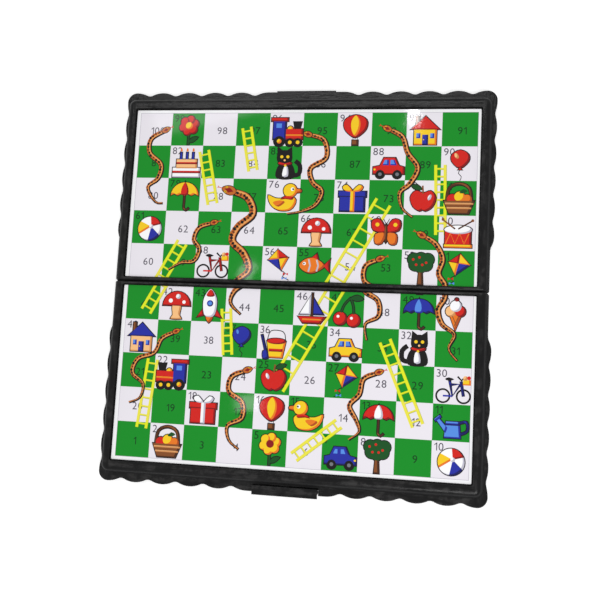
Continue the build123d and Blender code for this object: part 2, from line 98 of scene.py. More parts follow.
# Inks of the print in 8-bit screen colours, as they look in the photograph
INKS = {
    "paper": (243, 243, 245), "white": (231, 227, 234), "green": (6, 138, 31),
    "border_grey": (176, 170, 184), "number_grey": (76, 72, 84), "number_green": (0, 58, 16),
    "ladder_yellow": (232, 224, 72), "ladder_lime": (222, 230, 30),
    "ladder_shade": (150, 156, 40), "snake_orange": (192, 102, 38),
    "snake_light": (230, 160, 88), "snake_brown": (104, 48, 20), "black": (18, 14, 16),
    "red": (206, 30, 22), "dark_red": (134, 16, 18), "yellow": (242, 200, 30),
    "orange": (228, 118, 30), "rust": (176, 76, 26), "peach": (244, 190, 130),
    "tan": (206, 140, 84), "brown": (130, 74, 34), "dark_brown": (74, 40, 20),
    "blue": (34, 44, 158), "navy": (18, 22, 92), "sky": (84, 138, 222),
    "pure_white": (246, 246, 248), "pale_grey": (188, 186, 200), "grey": (112, 114, 122),
    "dark_green": (16, 78, 28),
}

# Ink of the shaded side of each motif colour, on shapes larger than SHADED_AREA
SHADES = {
    "red": "dark_red", "yellow": "orange", "orange": "rust", "peach": "tan",
    "brown": "dark_brown", "blue": "navy", "sky": "blue", "pure_white": "pale_grey",
}
SHADE_MOVE = (-.05, .035)
SHADED_AREA = .012


# Helpers for objects and shader nodes. A socket's id_data is the node tree that it belongs to.

def add_object(name, data):
    made = bpy.data.objects.new(name, data)
    bpy.context.scene.collection.objects.link(made)
    return made


def new_material(name):
    """A material with one Principled shader: the material, its tree and the shader."""
    material = bpy.data.materials.new(name)
    material.use_nodes = True
    tree = material.node_tree
    tree.nodes.clear()
    shader = tree.nodes.new("ShaderNodeBsdfPrincipled")
    output = tree.nodes.new("ShaderNodeOutputMaterial")
    tree.links.new(shader.outputs["BSDF"], output.inputs["Surface"])
    return material, tree, shader


def plug(node, values):
    """Sets inputs of a node to numbers or colours, or links them to other nodes."""
    for name, value in values.items():
        if isinstance(value, bpy.types.NodeSocket):
            node.id_data.links.new(value, node.inputs[name])
        else:
            node.inputs[name].default_value = value


def coordinates(tree, kind):
    """The place (Object) or the surface's direction (Normal) in the object's own axes."""
    return tree.nodes.new("ShaderNodeTexCoord").outputs[kind]


def split(vector):
    node = vector.id_data.nodes.new("ShaderNodeSeparateXYZ")
    plug(node, {"Vector": vector})
    return [node.outputs[axis] for axis in "XYZ"]


def stretched(vector, scale):
    """The vector with each axis scaled, so that a pattern runs along one direction."""
    node = vector.id_data.nodes.new("ShaderNodeMapping")
    plug(node, {"Vector": vector, "Scale": scale})
    return node.outputs["Vector"]


def noise(vector, scale, detail=2.0, roughness=.5):
    """A cloudy pattern about .5; its scale is per metre."""
    node = vector.id_data.nodes.new("ShaderNodeTexNoise")
    plug(node, {"Vector": vector, "Scale": scale, "Detail": detail, "Roughness": roughness})
    return node.outputs["Fac"]


def remap(value, low, high, from_low=.3, from_high=.7):
    """The value's range from_low to from_high, spread over low to high."""
    node = value.id_data.nodes.new("ShaderNodeMapRange")
    plug(node, {"Value": value, "From Min": from_low, "From Max": from_high,
                "To Min": low, "To Max": high})
    return node.outputs["Result"]


def math_node(operation, *values):
    node = values[0].id_data.nodes.new("ShaderNodeMath")
    node.operation = operation
    plug(node, dict(enumerate(values)))
    return node.outputs["Value"]


def product(first, *others):
    for other in others:
        first = math_node("MULTIPLY", first, other)
    return first


def blend(factor, first, second, kind="FLOAT"):
    """From the first value to the second; colours are of the kind RGBA."""
    node = factor.id_data.nodes.new("ShaderNodeMix")
    node.data_type = kind
    plug(node, {"Factor": factor, "A": first, "B": second})
    return node.outputs["Result"]


def darkened(pattern, colour, darkest):
    """The colour, darkened by a pattern down to the share darkest of it."""
    dark = tuple(channel * darkest for channel in colour[:3]) + (1.0,)
    return blend(remap(pattern, 0, 1), dark, colour, "RGBA")


def bump(shader, height, strength, distance, under=None):
    """Adds relief to the shader; under is the normal of a coarser relief below it."""
    node = shader.id_data.nodes.new("ShaderNodeBump")
    plug(node, {"Strength": strength, "Distance": distance, "Height": height})
    if under is not None:
        plug(node, {"Normal": under})
    plug(shader, {"Normal": node.outputs["Normal"]})
    return node.outputs["Normal"]


# Materials

# Black plastic: patterns per metre, how far the streaks are drawn out, and the dust on them,
# # with painted light: painted shade at the left and right sides, a painted highlight along the
# seam
STREAK_SCALE = 260
STREAK_SQUASH = .16
BLOTCH_SCALE = 210
WAVE_SCALE = 90
RIPPLE_SCALE = 420
CLEAN_BLACK = srgb(2, 2, 3)
DUST_AND_SHEEN_BLACK = srgb(44, 43, 43)
SIDE_PAINTED_SHADE = .62
SEAM_PAINTED_HIGHLIGHT = 2.2

# Other patterns per metre, and the depths of fine relief
DRIFT_SCALE = 120
SMEAR_SCALE = 55
SAG_SCALE = 24
DRAWN_SQUASH = .06
GRAIN_DEPTH = .05 * MM
DRAWN_DEPTH = .02 * MM
PIP_SUNK = .06 * MM
PIP_MARGIN = .85 * MM


def moulded_black():
    """Black plastic, semi-gloss and slightly wavy, with dull streaks of dust along each edge,
    and painted light: lighter on flat tops and along the seam, darker on slopes and at the sides.
    """
    material, tree, shader = new_material("moulded_black")
    place = coordinates(tree, "Object")
    x, y, _ = split(place)
    _, _, upward = split(coordinates(tree, "Normal"))
    from_middle = math_node("ABSOLUTE", x)
    from_seam = math_node("ABSOLUTE", y)
    at_side = remap(from_middle, 0, 1, HALF_WIDTH, HALF_WIDTH + 2 * MM)
    along_x, along_y = (
        noise(stretched(place, squash), STREAK_SCALE, 3.0, .65)
        for squash in ((STREAK_SQUASH, 1, 1), (1, STREAK_SQUASH, 1))
    )
    streaks = blend(at_side, along_x, along_y)
    blotches = noise(place, BLOTCH_SCALE)
    # Dust from the streaks and blotches, mixed with painted light that lightens or darkens the base
    # colour
    dust_and_painted_light = product(
        remap(streaks, 0, 1, .40, .62),
        remap(blotches, .2, 1, .40, .60),
        # painted sheen and shade: more of the lighter colour on flat tops, less on slopes
        remap(upward, .15, 1, .80, .98),
        # painted shade: less of the lighter colour, so darker, at the left and right sides
        remap(at_side, 1, SIDE_PAINTED_SHADE, 0, 1),
        # painted highlight: more of the lighter colour on the rims along the seam
        remap(from_seam, SEAM_PAINTED_HIGHLIGHT, 1, SHEET_NEAR - MM, SHEET_NEAR),
    )
    worn = remap(dust_and_painted_light, .18, .44, 0, 1)
    steep = remap(upward, 1.0, 0.0, .35, .95)
    plug(shader, {
        "Base Color": blend(dust_and_painted_light, CLEAN_BLACK, DUST_AND_SHEEN_BLACK, "RGBA"),
        "Roughness": math_node("MAXIMUM", worn, steep),
        "Specular IOR Level": .18,
    })
    waves = bump(shader, noise(place, WAVE_SCALE), .35, .9 * MM)
    coarse = bump(shader, streaks, .5, .5 * MM, waves)
    bump(shader, noise(place, RIPPLE_SCALE), .22, .25 * MM, coarse)
    return material


def plain_plastic(name, colour, roughness, grain_scale, relief):
    """Coloured moulded plastic with slight colour drift and a fine surface texture."""
    material, tree, shader = new_material(name)
    place = coordinates(tree, "Object")
    grain = noise(place, grain_scale)
    plug(shader, {
        "Base Color": darkened(noise(place, DRIFT_SCALE), colour, darkest=.86),
        "Roughness": remap(grain, roughness - .06, roughness + .08),
    })
    bump(shader, grain, relief, GRAIN_DEPTH)
    return material


def brushed_metal(name, colour, roughness, line_scale):
    """Steel with drawn lines along X."""
    material, tree, shader = new_material(name)
    along_x = stretched(coordinates(tree, "Object"), (DRAWN_SQUASH, 1, 1))
    lines = noise(along_x, line_scale, 3.0, .6)
    plug(shader, {
        "Metallic": 1.0,
        "Base Color": darkened(lines, colour, darkest=.72),
        "Roughness": remap(lines, roughness - .08, roughness + .12),
    })
    bump(shader, lines, .15, DRAWN_DEPTH)
    return material


def ink_material(name, colour):
    """Glossy printed sheet in one ink: a slightly wavy gloss over a plain colour."""
    material, tree, shader = new_material(f"ink_{name}")
    place = coordinates(tree, "Object")
    smear = noise(place, SMEAR_SCALE, 3.0, .55)
    plug(shader, {
        "Base Color": colour,
        "Roughness": remap(smear, .03, .07),
        "Specular IOR Level": .2,
    })
    bump(shader, noise(place, SAG_SCALE, 2.0, .45), .10, .8 * MM)
    return material


def die_plastic():
    """Ivory die with black pips, whose drilled floors lie a little under each face."""
    material, tree, shader = new_material("die_plastic")
    low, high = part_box("playing_die")
    half = (high.x - low.x) / 2
    place = coordinates(tree, "Object")
    offset = tree.nodes.new("ShaderNodeVectorMath")
    offset.operation = "SUBTRACT"
    plug(offset, {0: place, 1: (low + high) / 2})
    x, y, z = (math_node("ABSOLUTE", axis) for axis in split(offset.outputs["Vector"]))
    smaller = math_node("MINIMUM", x, y)
    larger = math_node("MAXIMUM", x, y)
    largest = math_node("MAXIMUM", larger, z)
    second = math_node("MAXIMUM", smaller, math_node("MINIMUM", larger, z))
    sunk = math_node("LESS_THAN", largest, half - PIP_SUNK)
    off_edges = math_node("LESS_THAN", second, half - PIP_MARGIN)
    painted = product(sunk, off_edges)
    plug(shader, {
        "Base Color": blend(painted, srgb(238, 232, 214), srgb(20, 20, 22), "RGBA"),
        "Roughness": remap(noise(place, 900), .22, .32),
    })
    return material


# Shapes of the print, as closed loops of points in squares of the board: u counts columns from
# the left, v rows from the front

SAME_PLACE = 1e-6
FOLDED_BACK = .2
SHARPEST_CORNER = .55


def arc(cu, cv, radius, start, sweep, steps, squash=1):
    """Points along an arc, both ends included."""
    angles = [start + sweep * step / steps for step in range(steps + 1)]
    return [(cu + radius * math.cos(a), cv + radius * squash * math.sin(a)) for a in angles]


def circle(cu, cv, radius, points=18, squash=1, turn=0):
    """A circle, or an ellipse squashed along v and then turned."""
    cosine, sine = math.cos(turn), math.sin(turn)
    around = arc(0, 0, radius, 0, 2 * math.pi, points, squash)[:-1]
    return [(cu + x * cosine - y * sine, cv + x * sine + y * cosine) for x, y in around]


def box(low_u, low_v, high_u, high_v):
    return [(low_u, low_v), (high_u, low_v), (high_u, high_v), (low_u, high_v)]


def smooth_path(points, closed=False):
    """A Catmull-Rom curve through the points, in steps of about CURVE_STEP."""
    first, after_last = (points[-1], points[:2]) if closed else (points[0], points[-1:])
    padded = [first, *points, *after_last]
    path = []
    for index in range(len(padded) - 3):
        before, start, end, after = (Vector(point) for point in padded[index:index + 4])
        steps = max(2, round((end - start).length / CURVE_STEP) + 1)
        for step in range(steps):
            t = step / steps
            place = .5 * (
                2 * start
                + (end - before) * t
                + (2 * before - 5 * start + 4 * end - after) * t**2
                + (3 * start - before - 3 * end + after) * t**3
            )
            path.append((place.x, place.y))
    return path if closed else path + [tuple(points[-1])]


def blob(*points):
    """A smooth closed shape through the points."""
    return smooth_path(points, closed=True)


def signed_area(loop):
    """The area inside a loop, above 0 where it runs anticlockwise."""
    return sum(a[0] * b[1] - b[0] * a[1] for a, b in zip(loop, loop[1:] + loop[:1])) / 2


def grown(loop, distance):
    """The loop moved outwards by a distance, for a dark outline under a shape."""
    turn = 1 if signed_area(loop) > 0 else -1
    result = []
    for index, point in enumerate(loop):
        before = Vector(point) - Vector(loop[index - 1])
        after = Vector(loop[(index + 1) % len(loop)]) - Vector(point)
        if min(before.length, after.length) < SAME_PLACE:
            continue
        before.normalize()
        after.normalize()
        outwards = Vector((before.y, -before.x)) * turn
        normal = Vector((before.y + after.y, -before.x - after.x)) * turn
        if normal.length < FOLDED_BACK:
            normal = outwards
        normal = normal.normalized()
        moved = Vector(point) + normal * (distance / max(SHARPEST_CORNER, normal.dot(outwards)))
        result.append((moved.x, moved.y))
    return result


def heading(path, index):
    """The direction of a path at one of its points."""
    ahead = Vector(path[min(index + 1, len(path) - 1)])
    return (ahead - Vector(path[max(index - 1, 0)])).normalized()


def left_of(along):
    return Vector((-along.y, along.x))


def ribbon(path, widths):
    """A strip along a path; widths are half widths at each point."""
    left = []
    right = []
    for index, point in enumerate(path):
        side = left_of(heading(path, index)) * widths[index]
        left.append((point[0] + side.x, point[1] + side.y))
        right.append((point[0] - side.x, point[1] - side.y))
    return left + right[::-1]


def line(points, half_width):
    return ribbon(points, [half_width] * len(points))


def curve(points, half_width):
    """A strip along a smooth curve through the points."""
    return line(smooth_path(points), half_width)


def inked(ink, *loops):
    return [(ink, loop) for loop in loops]


def strokes(ink, half_width, *paths):
    return [(ink, line(path, half_width)) for path in paths]


def dots(ink, radius, points, *places):
    return [(ink, circle(u, v, radius, points)) for u, v in places]


def both_sides(points, middle=.5):
    """The points, and their mirror image about a middle line."""
    return [points, [(2 * middle - x, y) for x, y in points]]


def crescent(loop):
    """The strip of a shape that a copy moved by SHADE_MOVE leaves bare, as two loops."""
    outer = loop if signed_area(loop) > 0 else loop[::-1]
    inner = [(x + SHADE_MOVE[0], y + SHADE_MOVE[1]) for x, y in reversed(outer)]
    return [outer, inner]


def placed(shapes, column, row, flip):
    """A motif drawn in a unit square, set into a square of the board, with shaded sides."""
    u = column + MOTIF_SHIFT[0] + .5
    v = row + MOTIF_SHIFT[1] + .5
    across = -MOTIF_SIZE if flip else MOTIF_SIZE
    result = []
    for ink, loop in shapes:
        moved = [(u + (x - .5) * across, v + (y - .5) * MOTIF_SIZE) for x, y in loop]
        result.append((ink, [moved]))
        if ink in SHADES and abs(signed_area(moved)) > SHADED_AREA:
            result.append((SHADES[ink], crescent(moved)))
    return result


def outlined(shapes):
    """A dark outline below the whole motif, then the motif."""
    return [("black", grown(loop, OUTLINE)) for _, loop in shapes] + list(shapes)


# Numbers, from Blender's own font, but for a 1 with a flag and no foot

ONE = [(.24, 0), (.36, 0), (.36, 1), (.27, 1), (0, .77), (0, .64), (.24, .82)]
FONT_STEPS = 3
FONT_MERGE = 1e-5


def glyph_loops():
    """Outlines of the ten digits, scaled to a unit height: {digit: (loops, width)}."""
    glyphs = {"1": ([ONE], max(x for x, _ in ONE))}
    for digit in "023456789":
        text = bpy.data.curves.new(f"digit_{digit}", "FONT")
        text.body = digit
        text.resolution_u = FONT_STEPS
        holder = add_object(f"digit_{digit}", text)
        bpy.context.view_layer.update()
        filled = holder.evaluated_get(bpy.context.evaluated_depsgraph_get())
        mesh = bpy.data.meshes.new_from_object(filled)
        loops = boundary_loops(mesh)
        bpy.data.objects.remove(holder)
        bpy.data.curves.remove(text)
        bpy.data.meshes.remove(mesh)
        xs, ys = zip(*[point for loop in loops for point in loop])
        left, base, height = min(xs), min(ys), max(ys) - min(ys)
        scaled = [[((x - left) / height, (y - base) / height) for x, y in loop] for loop in loops]
        glyphs[digit] = (scaled, (max(xs) - left) / height)
    return glyphs


def boundary_loops(mesh):
    """The outlines of a flat filled mesh."""
    bm = bmesh.new()
    bm.from_mesh(mesh)
    bmesh.ops.remove_doubles(bm, verts=bm.verts, dist=FONT_MERGE)
    following = {}
    for face in bm.faces:
        for corner in face.loops:
            if len(corner.edge.link_faces) == 1:
                following[corner.vert.index] = corner.link_loop_next.vert.index
    places = [(v.co.x, v.co.y) for v in bm.verts]
    bm.free()
    loops = []
    while following:
        start, current = next(iter(following.items()))
        loop = [places[start]]
        del following[start]
        while current != start:
            loop.append(places[current])
            current = following.pop(current)
        loops.append(loop)
    return loops


def number_shapes(number, ink, u, v, glyphs, anchor):
    """The number's digits; anchor is where the text box sits on (u, v): 0 left, .5 middle."""
    widths = [glyphs[digit][1] * DIGIT_HEIGHT for digit in str(number)]
    total = sum(widths) + DIGIT_GAP * (len(widths) - 1)
    left = u - total * anchor
    base = v - DIGIT_HEIGHT / 2
    shapes = []
    for digit, width in zip(str(number), widths):
        shapes.append((ink, [
            [(left + x * DIGIT_HEIGHT, base + y * DIGIT_HEIGHT) for x, y in loop]
            for loop in glyphs[digit][0]
        ]))
        left += width + DIGIT_GAP
    return shapes


# Ladders: half widths of rails and rungs, and rung spacing in half widths of the ladder

RAIL = .040
RAIL_SHADE = .75 * RAIL
RUNG = .022
RUNG_SHADE = .6 * RUNG
RUNG_ROOM = 1.8


def ladder(foot, top, half_width):
    """Two rails and rungs between two places, with a shaded edge beside each."""
    foot, top = Vector(foot), Vector(top)
    length = (top - foot).length
    along = (top - foot).normalized()
    side = left_of(along)

    def rails(ink, moved, half):
        edges = [side * (half_width * way - moved) for way in (-1, 1)]
        return strokes(ink, half, *[[foot + edge, top + edge] for edge in edges])

    across = side * half_width
    drop = along * RUNG
    shapes = rails("ladder_shade", RAIL / 2, RAIL_SHADE)
    rungs = max(2, round(length / (RUNG_ROOM * half_width)))
    for index in range(rungs):
        middle = foot + along * (length * (index + .5) / rungs)
        ends = [middle - across, middle + across]
        shapes += strokes("ladder_shade", RUNG_SHADE, [end - drop for end in ends])
        shapes += strokes("ladder_yellow", RUNG, ends)
    return shapes + rails("ladder_yellow", 0, RAIL)


# Snakes: shares of the length and of the half width, and sizes in squares

NECK_LENGTH = .1
NECK_WIDTH = .75
TAIL_LENGTH = .4
TAIL_TAPER = .8
TAIL_TIP = .014
BELLY_PLACE = .5
BELLY_WIDTH = .28
MARK_PLACES = (.1, .35)
MARK_WIDTHS = (.62, .78)
MARK_LENGTHS = (.034, .048, .062)
MARK_INKS = ("snake_brown", "black", "black")
HEAD_SIDE = [(-1, .62), (.4, 1.35), (1.9, 1.2), (3.2, .42)]
HEAD_OUTLINE = .022


def diamond(place, along, length, width):
    """Four corners round a place: a length ahead and behind, a width to each side."""
    side = left_of(along)
    steps = (along * length, side * width, along * -length, side * -width)
    return [tuple(place + step) for step in steps]


def snake(points, half_width):
    """A marked snake from its head along smooth bends to a thin tail, over a dark shadow."""
    path = smooth_path(points)
    last = len(path) - 1
    widths = []
    for index in range(last + 1):
        share = index / last
        neck = NECK_WIDTH + (1 - NECK_WIDTH) * min(1, share / NECK_LENGTH)
        tail = min(1, (1 - share) / TAIL_LENGTH) ** TAIL_TAPER
        widths.append(max(half_width * neck * tail, TAIL_TIP))
    aheads = [heading(path, index) for index in range(last + 1)]
    sides = [left_of(ahead) for ahead in aheads]
    places = [Vector(point) for point in path]
    move = .010 + .14 * half_width
    shadow = [(x + move, y - move * .8) for x, y in path]
    belly = [
        tuple(place + side * width * BELLY_PLACE)
        for place, side, width in zip(places, sides, widths)
    ]
    shapes = [
        ("black", ribbon(shadow, [width + .018 + .1 * half_width for width in widths])),
        ("snake_orange", ribbon(path, widths)),
        ("snake_light", ribbon(belly, [width * BELLY_WIDTH for width in widths])),
    ]
    for index in range(2, last - 1):
        width = widths[index]
        place = places[index] - sides[index] * (width * MARK_PLACES[index % 2])
        size = (MARK_LENGTHS[index % 3], width * MARK_WIDTHS[index % 2])
        shapes.append((MARK_INKS[index % 3], diamond(place, aheads[index], *size)))
    return shapes + snake_head(places[0], -aheads[0], half_width)


def snake_head(neck, along, half_width):
    """A flat, broad head with eyes and a forked tongue, pointing one way."""
    side = left_of(along)

    def at(ahead, aside):
        return neck + along * (ahead * half_width) + side * (aside * half_width)

    skull = blob(*[at(x, y) for x, y in HEAD_SIDE + [(x, -y) for x, y in HEAD_SIDE[::-1]]])
    mark = diamond(at(1.1, 0), along, half_width * 1.5, half_width * .8)
    shapes = [("black", grown(skull, HEAD_OUTLINE)), ("snake_orange", skull), ("dark_red", mark)]
    for way in (-1, 1):
        eye = at(2.1, .75 * way)
        shapes += dots("yellow", half_width * .34, 10, eye)
        shapes += dots("black", half_width * .18, 8, eye)
    snout = at(3.3, 0)
    tip = snout + along * (half_width * 1.2)
    forks = [[tip, tip + along * .04 + side * (.03 * way)] for way in (-1, 1)]
    return shapes + strokes("red", .010, [snout, tip]) + strokes("red", .009, *forks)


# Motifs, each drawn in a unit square

def balloon(main="red", light="peach"):
    body = blob((.5, .9), (.72, .78), (.72, .58), (.5, .4), (.28, .58), (.28, .78))
    knot = [(.45, .36), (.55, .36), (.5, .43)]
    return outlined([(main, body), (main, knot)]) + [
        (light, circle(.4, .74, .05, 10, 1.7, .5)),
        ("black", curve([(.5, .36), (.46, .26), (.54, .17), (.5, .06)], .01)),
    ]


def kite():
    top, right, foot, left = (.58, .92), (.84, .62), (.46, .34), (.28, .7)
    middle = (.54, .66)
    return outlined([
        ("red", [left, middle, top]),
        ("yellow", [top, middle, right]),
        ("blue", [right, middle, foot]),
        ("yellow", [foot, middle, left]),
    ]) + [
        ("black", curve([foot, (.34, .26), (.42, .18), (.24, .08)], .012)),
        *inked("red", [(.27, .28), (.34, .25), (.27, .21)], [(.41, .29), (.34, .25), (.41, .21)]),
        *inked("sky", [(.3, .16), (.37, .13), (.3, .09)], [(.44, .17), (.37, .13), (.44, .09)]),
    ]


def apple():
    body = blob((.5, .66), (.7, .72), (.84, .54), (.76, .28), (.58, .16),
                (.5, .2), (.42, .16), (.24, .28), (.16, .54), (.3, .72))
    leaf = blob((.54, .76), (.66, .88), (.82, .86), (.7, .75))
    return outlined([("red", body), ("dark_green", leaf)]) + [
        ("brown", line([(.5, .64), (.52, .86)], .022)),
        ("pure_white", circle(.33, .54, .045, 10, 1.9, .4)),
    ]


def flower(petals="red", centre="yellow"):
    around = arc(.5, .64, .17, .3, 2 * math.pi, 6)[:-1]
    return outlined([
        ("dark_green", line([(.5, .5), (.5, .08)], .025)),
        ("dark_green", blob((.5, .16), (.62, .3), (.78, .3), (.64, .16))),
        *dots(petals, .125, 14, *around),
        (centre, circle(.5, .64, .105, 14)),
    ])


def beach_ball():
    panels = []
    for index, ink in enumerate(("red", "yellow", "blue")):
        start = 2 * math.pi * index / 3 + .4
        panels.append((ink, [(.54, .54)] + arc(.5, .48, .34, start, 1.14, 6)))
    ball = ("pure_white", circle(.5, .48, .34, 28))
    return outlined([ball]) + panels + dots("pure_white", .06, 12, (.54, .54))


def umbrella(first, second):
    scallops = [(.2 + .1 * k, .5 if k % 2 else .55) for k in range(7)]
    return outlined([
        ("brown", curve([(.5, .5), (.5, .3), (.5, .14), (.57, .08), (.64, .14)], .02)),
        (first, arc(.5, .5, .4, 0, math.pi, 12, .95) + scallops),
    ]) + [
        (second, blob((.5, .88), (.6, .7), (.6, .53), (.5, .51), (.4, .53), (.4, .7))),
        ("black", line([(.5, .87), (.5, .94)], .014)),
    ]


def sailing_boat():
    return outlined([
        ("red", [(.12, .3), (.88, .3), (.74, .12), (.26, .12)]),
        ("pure_white", [(.46, .9), (.46, .36), (.16, .36)]),
        ("blue", [(.54, .82), (.54, .36), (.82, .36)]),
        ("brown", line([(.5, .3), (.5, .94)], .018)),
    ]) + [("yellow", box(.24, .2, .76, .24))]


def house(wall="yellow", roof="red"):
    return outlined([
        ("brown", box(.66, .66, .76, .9)),
        (wall, box(.2, .1, .8, .55)),
        (roof, [(.1, .52), (.9, .52), (.5, .9)]),
    ]) + [
        ("blue", box(.42, .1, .58, .38)),
        *inked("sky", box(.26, .28, .37, .42), box(.63, .28, .74, .42)),
        ("yellow", circle(.545, .24, .016, 8)),
    ]


def toy_car(body="red"):
    shell = [(.08, .22), (.92, .22), (.92, .42), (.74, .46),
             (.64, .68), (.32, .68), (.22, .46), (.08, .42)]
    axles = (.27, .22), (.73, .22)
    return outlined([(body, shell), *dots("black", .12, 16, *axles)]) + [
        ("sky", [(.29, .47), (.46, .47), (.46, .62), (.35, .62)]),
        ("sky", [(.5, .47), (.67, .47), (.61, .62), (.5, .62)]),
        *dots("grey", .05, 12, *axles),
        ("yellow", circle(.88, .35, .03, 10)),
    ]


def fish():
    body = blob((.08, .5), (.26, .68), (.5, .7), (.78, .5), (.5, .3), (.26, .32))
    stripes = [(.34, .67), (.38, .5), (.34, .33)], [(.56, .66), (.6, .5), (.56, .34)]
    return outlined([
        ("red", [(.74, .5), (.94, .7), (.9, .5), (.94, .3)]),
        ("red", [(.36, .66), (.56, .84), (.62, .64)]),
        ("orange", body),
    ]) + strokes("pure_white", .022, *stripes) + [
        ("pure_white", circle(.22, .55, .045, 12)),
        ("black", circle(.21, .55, .022, 10)),
    ]


def tree():
    crown = (.36, .6), (.64, .6), (.5, .76), (.32, .74), (.68, .74), (.5, .56)
    fruit = (.36, .66), (.54, .8), (.62, .6), (.46, .6), (.7, .74)
    return outlined([
        ("brown", [(.43, .06), (.57, .06), (.54, .5), (.46, .5)]),
        *dots("dark_green", .17, 16, *crown),
    ]) + dots("red", .035, 10, *fruit)


def mushroom():
    stem = blob((.38, .48), (.4, .2), (.34, .1), (.66, .1), (.6, .2), (.62, .48))
    cap = arc(.5, .46, .4, 0, math.pi, 12)
    spots = (.32, .6, .06), (.53, .72, .07), (.7, .57, .05)
    return outlined([("peach", stem), ("red", cap)]) + [
        ("pure_white", circle(u, v, r, 10)) for u, v, r in spots
    ]


def butterfly():
    upper = both_sides([(.5, .52), (.34, .86), (.12, .82), (.16, .56)])
    lower = both_sides([(.48, .48), (.22, .46), (.22, .2), (.4, .2)])
    feelers = both_sides([(.5, .72), (.42, .88)])
    return outlined([
        *inked("red", *[blob(*wing) for wing in upper]),
        *inked("orange", *[blob(*wing) for wing in lower]),
        ("brown", circle(.5, .48, .26, 14, .17, math.pi / 2)),
    ]) + dots("yellow", .055, 12, (.26, .72), (.74, .72)) + strokes("black", .01, *feelers)


def ice_cream():
    return outlined([
        ("orange", [(.34, .5), (.66, .5), (.5, .06)]),
        ("peach", circle(.38, .58, .14, 16)),
        ("red", circle(.62, .58, .14, 16)),
        ("pure_white", circle(.5, .72, .15, 16)),
        ("dark_red", circle(.52, .89, .05, 12)),
    ]) + strokes("brown", .01, *both_sides([(.42, .46), (.53, .2)]))


def drum():
    cords = [(.18 + .12 * k, .52 if k % 2 else .24) for k in range(6)]
    sticks = [(.5, .64), (.86, .86)], [(.42, .64), (.1, .88)]
    return outlined([
        ("red", box(.16, .2, .84, .62)),
        ("yellow", box(.14, .14, .86, .22)),
        ("pure_white", circle(.5, .62, .36, 24, .32)),
    ]) + [
        ("yellow", line(cords, .016)),
        *strokes("brown", .02, *sticks),
        *dots("brown", .04, 10, (.87, .87), (.1, .89)),
    ]


def gift_box(wrap, band):
    bow = both_sides([(.5, .68), (.34, .86), (.22, .8), (.3, .69)])
    return outlined([
        (wrap, box(.16, .12, .84, .56)),
        (wrap, box(.12, .52, .88, .68)),
        *inked(band, *[blob(*loop) for loop in bow]),
    ]) + [(band, box(.44, .12, .56, .68))]


def rocket():
    fins = both_sides([(.3, .4), (.14, .16), (.34, .22)])
    hull = blob((.5, .96), (.68, .7), (.68, .36), (.6, .2),
                (.4, .2), (.32, .36), (.32, .7))
    return outlined([
        *inked("red", *fins),
        ("orange", blob((.4, .2), (.5, .02), (.6, .2))),
        ("pure_white", hull),
    ]) + [
        ("red", blob((.5, .95), (.62, .78), (.5, .74), (.38, .78))),
        ("blue", circle(.5, .56, .09, 14)),
        ("sky", circle(.5, .56, .055, 12)),
    ]


def watering_can():
    return outlined([
        *inked("sky", [(.3, .14), (.72, .14), (.68, .56), (.34, .56)],
               [(.34, .26), (.1, .58), (.16, .64), (.38, .4)],
               [(.04, .6), (.18, .72), (.22, .66), (.08, .54)]),
        ("blue", curve([(.7, .24), (.88, .34), (.86, .56), (.66, .52)], .026)),
    ]) + [("blue", box(.335, .46, .69, .52))]


def cherries():
    return outlined([
        *dots("red", .18, 18, (.32, .28), (.68, .24)),
        ("dark_green", curve([(.34, .44), (.42, .66), (.58, .84)], .018)),
        ("dark_green", curve([(.68, .4), (.66, .62), (.58, .84)], .018)),
        ("dark_green", blob((.58, .84), (.76, .92), (.92, .82), (.74, .76))),
    ]) + dots("pure_white", .04, 10, (.26, .34), (.62, .3))


def bucket_and_spade():
    return outlined([
        ("yellow", [(.3, .1), (.66, .1), (.74, .54), (.22, .54)]),
        ("red", circle(.48, .54, .26, 20, .3)),
        ("blue", line([(.74, .2), (.88, .7)], .024)),
        ("blue", blob((.68, .08), (.82, .06), (.84, .26), (.72, .28))),
    ]) + [
        ("black", curve([(.23, .56), (.3, .8), (.64, .82), (.73, .56)], .012)),
        ("red", box(.3, .26, .68, .34)),
    ]


def hot_air_balloon():
    envelope = blob((.5, .94), (.8, .8), (.8, .54), (.58, .32),
                    (.42, .32), (.2, .54), (.2, .8))
    stripe = blob((.5, .93), (.62, .76), (.61, .52), (.5, .33), (.39, .52), (.38, .76))
    ropes = both_sides([(.44, .32), (.44, .22)])
    return outlined([
        ("red", envelope),
        ("brown", box(.42, .08, .58, .22)),
    ]) + [("yellow", stripe)] + strokes("black", .008, *ropes)


def tyre(cu, cv):
    points = circle(cu, cv, .17, 22)
    return line(points + points[:2], .024)


def bicycle(tubes="red"):
    """A bicycle with fruit in its basket, its tubes over wider black lines."""
    triangle = [(.48, .27), (.68, .58), (.42, .56)]
    fork = [(.69, .66), (.76, .27)]
    return [
        *inked("black", tyre(.24, .27), tyre(.76, .27)),
        *strokes("black", .042, [(.4, .68)] + triangle, fork),
        *strokes(tubes, .026, [(.4, .66)] + triangle, fork),
        (tubes, line([(.24, .27), (.48, .27)], .022)),
        ("black", line([(.6, .78), (.7, .68), (.8, .78)], .024)),
        ("black", blob((.28, .7), (.38, .75), (.52, .7), (.38, .66))),
        ("yellow", box(.74, .56, .94, .7)),
        ("peach", circle(.8, .74, .06, 12)),
        ("red", circle(.89, .75, .05, 12)),
    ]


def duck():
    body = blob((.16, .34), (.3, .14), (.62, .12), (.86, .28),
                (.94, .54), (.72, .46), (.44, .46), (.2, .48))
    return outlined([
        ("orange", blob((.2, .72), (.04, .72), (.02, .64), (.2, .62))),
        ("yellow", body),
        ("yellow", circle(.33, .68, .19, 18)),
        ("red", blob((.24, .5), (.46, .52), (.6, .42), (.46, .44), (.26, .42))),
    ]) + [
        ("orange", blob((.46, .36), (.62, .4), (.8, .34), (.64, .22))),
        ("pure_white", circle(.27, .72, .05, 12)),
        ("black", circle(.25, .72, .026, 10)),
    ]


